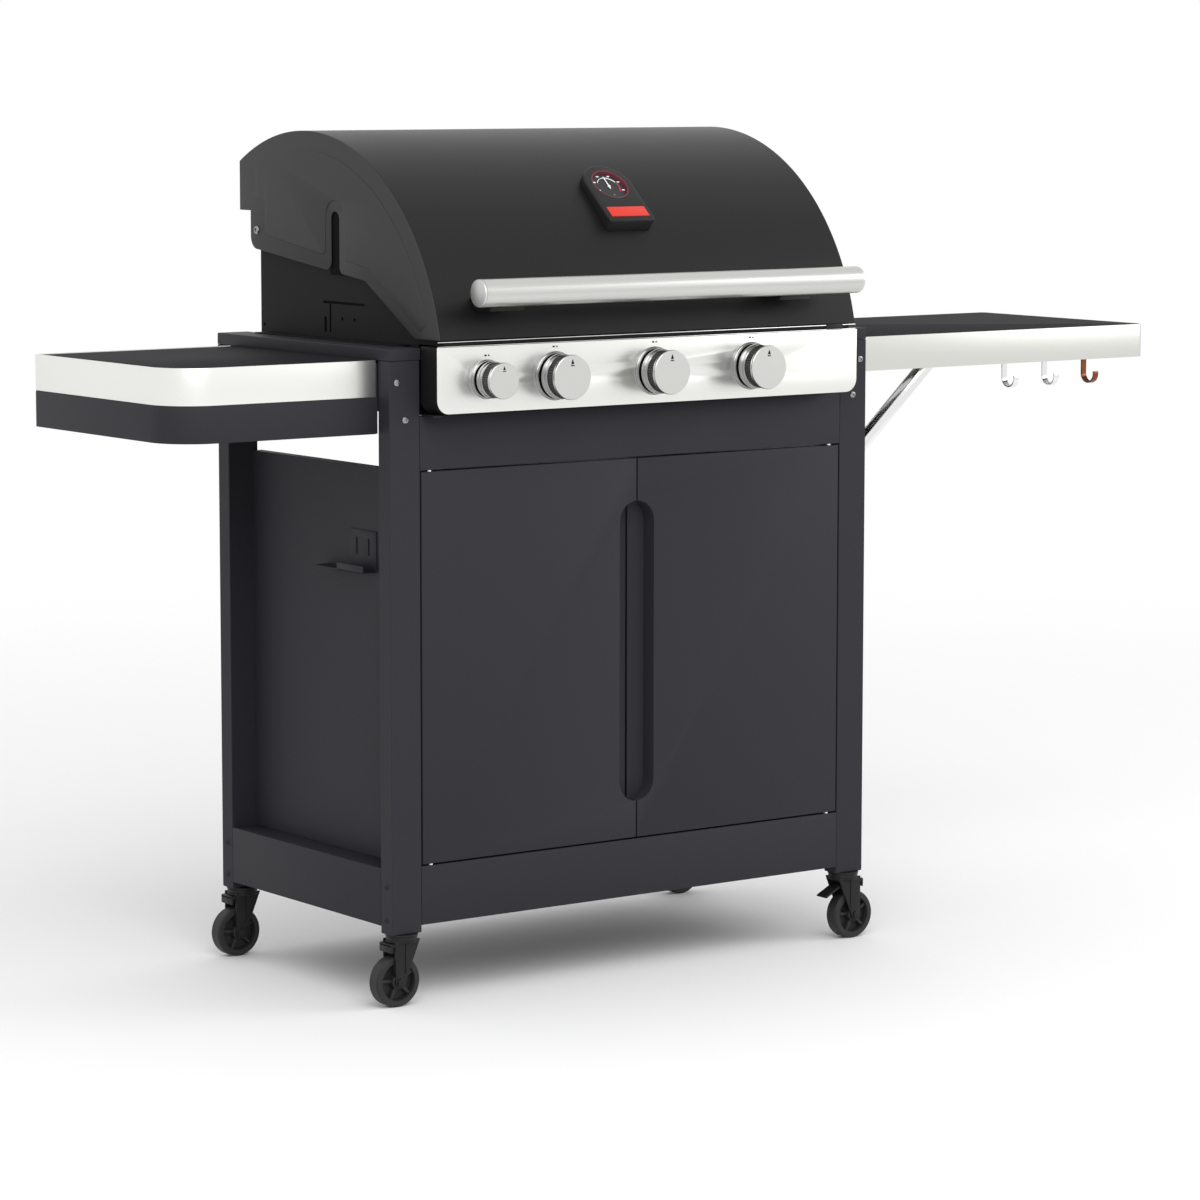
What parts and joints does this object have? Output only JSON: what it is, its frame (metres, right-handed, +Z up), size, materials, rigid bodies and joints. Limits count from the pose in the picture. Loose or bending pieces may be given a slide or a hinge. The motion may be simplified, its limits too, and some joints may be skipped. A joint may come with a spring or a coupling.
{
  "type": "gas barbecue grill",
  "caption": "Cabinet gas barbecue on casters with a curved hinged lid, round handle, knob panel, double doors, side burner shelf and a fold-down shelf with hooks.",
  "frame": {"origin": "centre of the bounding box in plan, on the floor under the wheels", "axes": "X along the width with the folding shelf at +X, Y from the control panel to the back, Z up"},
  "size_m": [1.706, 0.569, 1.1785],
  "materials": {
    "cabinet_paint": "matte anthracite powder coat",
    "lid_enamel": "satin black enamel",
    "firebox_enamel": "matte black enamel",
    "stainless_brushed": "brushed",
    "chrome": "polished",
    "cast_iron": "seasoned matte",
    "brass": "machined",
    "black_plastic": "fine texture",
    "dial_white": "matte print",
    "dial_glass": "clear",
    "badge_red": "gloss enamel",
    "hook_bronze": "satin bronze"
  },
  "bodies": {
    "cabinet": {"leg_front_left": "cabinet_paint", "leg_front_right": "cabinet_paint", "leg_back_left": "cabinet_paint", "leg_back_right": "cabinet_paint", "side_rail_top_left": "cabinet_paint", "side_rail_top_right": "cabinet_paint", "side_rail_bottom_left": "cabinet_paint", "side_rail_bottom_right": "cabinet_paint", "front_rail_top": "cabinet_paint", "front_rail_bottom": "cabinet_paint", "side_panel_left": "cabinet_paint", "side_panel_right": "cabinet_paint", "back_panel": "cabinet_paint", "bottom_shelf": "cabinet_paint", "control_panel": "stainless_brushed", "firebox": "firebox_enamel", "cooking_grate_left": "cast_iron", "cooking_grate_right": "cast_iron", "flame_tamer_1": "stainless_brushed", "flame_tamer_2": "stainless_brushed", "flame_tamer_3": "stainless_brushed", "burner_tube_1": "stainless_brushed", "burner_tube_2": "stainless_brushed", "burner_tube_3": "stainless_brushed", "warming_rack": "chrome", "gas_manifold": "brass", "side_burner_box": "cabinet_paint", "side_burner_band": "stainless_brushed", "shelf_hinge_frame": "cabinet_paint"},
    "lid": {"lid_shell": "lid_enamel", "lid_end_cap_left": "lid_enamel", "lid_end_cap_right": "lid_enamel", "lid_handle": "stainless_brushed", "thermometer_housing": "black_plastic"},
    "thermometer_needle": {"thermometer_needle": "dial_white"},
    "door_left": {"door_left": "cabinet_paint"},
    "door_right": {"door_right": "cabinet_paint"},
    "side_burner_lid": {"side_burner_lid": "cabinet_paint"},
    "folding_shelf": {"folding_shelf": "stainless_brushed", "hook_rail": "chrome"},
    "shelf_strut": {"shelf_strut": "stainless_brushed"},
    "grease_tray": {"grease_tray": "stainless_brushed"},
    "valve_stem_1": {"valve_stem_1": "brass"},
    "knob_1": {"knob_1": "chrome"},
    "valve_stem_2": {"valve_stem_2": "brass"},
    "knob_2": {"knob_2": "chrome"},
    "valve_stem_3": {"valve_stem_3": "brass"},
    "knob_3": {"knob_3": "chrome"},
    "valve_stem_4": {"valve_stem_4": "brass"},
    "knob_4": {"knob_4": "chrome"},
    "caster_fork_front_left": {"caster_fork_front_left": "black_plastic"},
    "caster_wheel_front_left": {"caster_wheel_front_left": "black_plastic"},
    "caster_fork_back_left": {"caster_fork_back_left": "black_plastic"},
    "caster_wheel_back_left": {"caster_wheel_back_left": "black_plastic"},
    "caster_fork_front_right": {"caster_fork_front_right": "black_plastic"},
    "caster_wheel_front_right": {"caster_wheel_front_right": "black_plastic"},
    "brake_lever_front_right": {"brake_lever_front_right": "black_plastic"},
    "caster_fork_back_right": {"caster_fork_back_right": "black_plastic"},
    "caster_wheel_back_right": {"caster_wheel_back_right": "black_plastic"},
    "brake_lever_back_right": {"brake_lever_back_right": "black_plastic"}
  },
  "joints": [
    {"name": "lid_hinge", "type": "hinge", "parent": "cabinet", "child": "lid", "pos_m": [0, 0.23852, 1.0376], "axis": [-1, 0, 0], "range_deg": [0, 88]},
    {"name": "thermometer_reading", "type": "hinge", "parent": "lid", "child": "thermometer_needle", "pos_m": [-0.12875, -0.11778, 1.1043], "axis": [0, 0.6521, -0.7581], "range_deg": [-112, 112]},
    {"name": "knob_push_1", "type": "slide", "parent": "cabinet", "child": "valve_stem_1", "axis": [0, 1, 0], "range_m": [0, 0.003], "stiffness_N_per_m": 500, "springref_m": -0.006},
    {"name": "knob_turn_1", "type": "hinge", "parent": "valve_stem_1", "child": "knob_1", "pos_m": [-0.409, -0.23278, 0.851], "axis": [0, -1, 0], "range_deg": [0, 210]},
    {"name": "knob_push_2", "type": "slide", "parent": "cabinet", "child": "valve_stem_2", "axis": [0, 1, 0], "range_m": [0, 0.003], "stiffness_N_per_m": 500, "springref_m": -0.006},
    {"name": "knob_turn_2", "type": "hinge", "parent": "valve_stem_2", "child": "knob_2", "pos_m": [-0.297, -0.23278, 0.851], "axis": [0, -1, 0], "range_deg": [0, 210]},
    {"name": "knob_push_3", "type": "slide", "parent": "cabinet", "child": "valve_stem_3", "axis": [0, 1, 0], "range_m": [0, 0.003], "stiffness_N_per_m": 500, "springref_m": -0.006},
    {"name": "knob_turn_3", "type": "hinge", "parent": "valve_stem_3", "child": "knob_3", "pos_m": [-0.129, -0.23278, 0.851], "axis": [0, -1, 0], "range_deg": [0, 210]},
    {"name": "knob_push_4", "type": "slide", "parent": "cabinet", "child": "valve_stem_4", "axis": [0, 1, 0], "range_m": [0, 0.003], "stiffness_N_per_m": 500, "springref_m": -0.006},
    {"name": "knob_turn_4", "type": "hinge", "parent": "valve_stem_4", "child": "knob_4", "pos_m": [0.04, -0.23278, 0.851], "axis": [0, -1, 0], "range_deg": [0, 210]},
    {"name": "door_left_hinge", "type": "hinge", "parent": "cabinet", "child": "door_left", "pos_m": [-0.4749, -0.17577, 0.46], "axis": [0, 0, -1], "range_deg": [0, 105]},
    {"name": "door_right_hinge", "type": "hinge", "parent": "cabinet", "child": "door_right", "pos_m": [0.2174, -0.17577, 0.46], "axis": [0, 0, 1], "range_deg": [0, 105]},
    {"name": "side_burner_lid_hinge", "type": "hinge", "parent": "cabinet", "child": "side_burner_lid", "pos_m": [-0.6975, 0.21463, 0.877], "axis": [-1, 0, 0], "range_deg": [0, 95]},
    {"name": "shelf_fold", "type": "hinge", "parent": "cabinet", "child": "folding_shelf", "pos_m": [0.293, 0.03148, 0.832], "axis": [0, 1, 0], "range_deg": [0, 90]},
    {"name": "strut_swing", "type": "hinge", "parent": "cabinet", "child": "shelf_strut", "pos_m": [0.295, 0.03148, 0.672], "axis": [0, 1, 0], "range_deg": [0, 128.1]},
    {"name": "grease_tray_slide", "type": "slide", "parent": "cabinet", "child": "grease_tray", "axis": [0, 1, 0], "range_m": [0, 0.3]},
    {"name": "caster_swivel_front_left", "type": "hinge", "parent": "cabinet", "child": "caster_fork_front_left", "pos_m": [-0.515, -0.16878, 0.095], "axis": [0, 0, 1], "continuous": true},
    {"name": "wheel_spin_front_left", "type": "hinge", "parent": "caster_fork_front_left", "child": "caster_wheel_front_left", "pos_m": [-0.527, -0.16878, 0.035], "axis": [0, 1, 0], "continuous": true},
    {"name": "caster_swivel_back_left", "type": "hinge", "parent": "cabinet", "child": "caster_fork_back_left", "pos_m": [-0.515, 0.24622, 0.095], "axis": [0, 0, 1], "continuous": true},
    {"name": "wheel_spin_back_left", "type": "hinge", "parent": "caster_fork_back_left", "child": "caster_wheel_back_left", "pos_m": [-0.527, 0.24622, 0.035], "axis": [0, 1, 0], "continuous": true},
    {"name": "caster_swivel_front_right", "type": "hinge", "parent": "cabinet", "child": "caster_fork_front_right", "pos_m": [0.2575, -0.16878, 0.095], "axis": [0, 0, 1], "continuous": true},
    {"name": "wheel_spin_front_right", "type": "hinge", "parent": "caster_fork_front_right", "child": "caster_wheel_front_right", "pos_m": [0.2695, -0.16878, 0.035], "axis": [0, 1, 0], "continuous": true},
    {"name": "brake_press_front_right", "type": "hinge", "parent": "caster_fork_front_right", "child": "brake_lever_front_right", "pos_m": [0.2475, -0.16878, 0.0805], "axis": [0, -1, 0], "range_deg": [0, 12]},
    {"name": "caster_swivel_back_right", "type": "hinge", "parent": "cabinet", "child": "caster_fork_back_right", "pos_m": [0.2575, 0.24622, 0.095], "axis": [0, 0, 1], "continuous": true},
    {"name": "wheel_spin_back_right", "type": "hinge", "parent": "caster_fork_back_right", "child": "caster_wheel_back_right", "pos_m": [0.2695, 0.24622, 0.035], "axis": [0, 1, 0], "continuous": true},
    {"name": "brake_press_back_right", "type": "hinge", "parent": "caster_fork_back_right", "child": "brake_lever_back_right", "pos_m": [0.2475, 0.24622, 0.0805], "axis": [0, -1, 0], "range_deg": [0, 12]}
  ],
  "couplings": [
    {"joint": "strut_swing", "follows": "shelf_fold", "ratio": 1.4222}
  ]
}
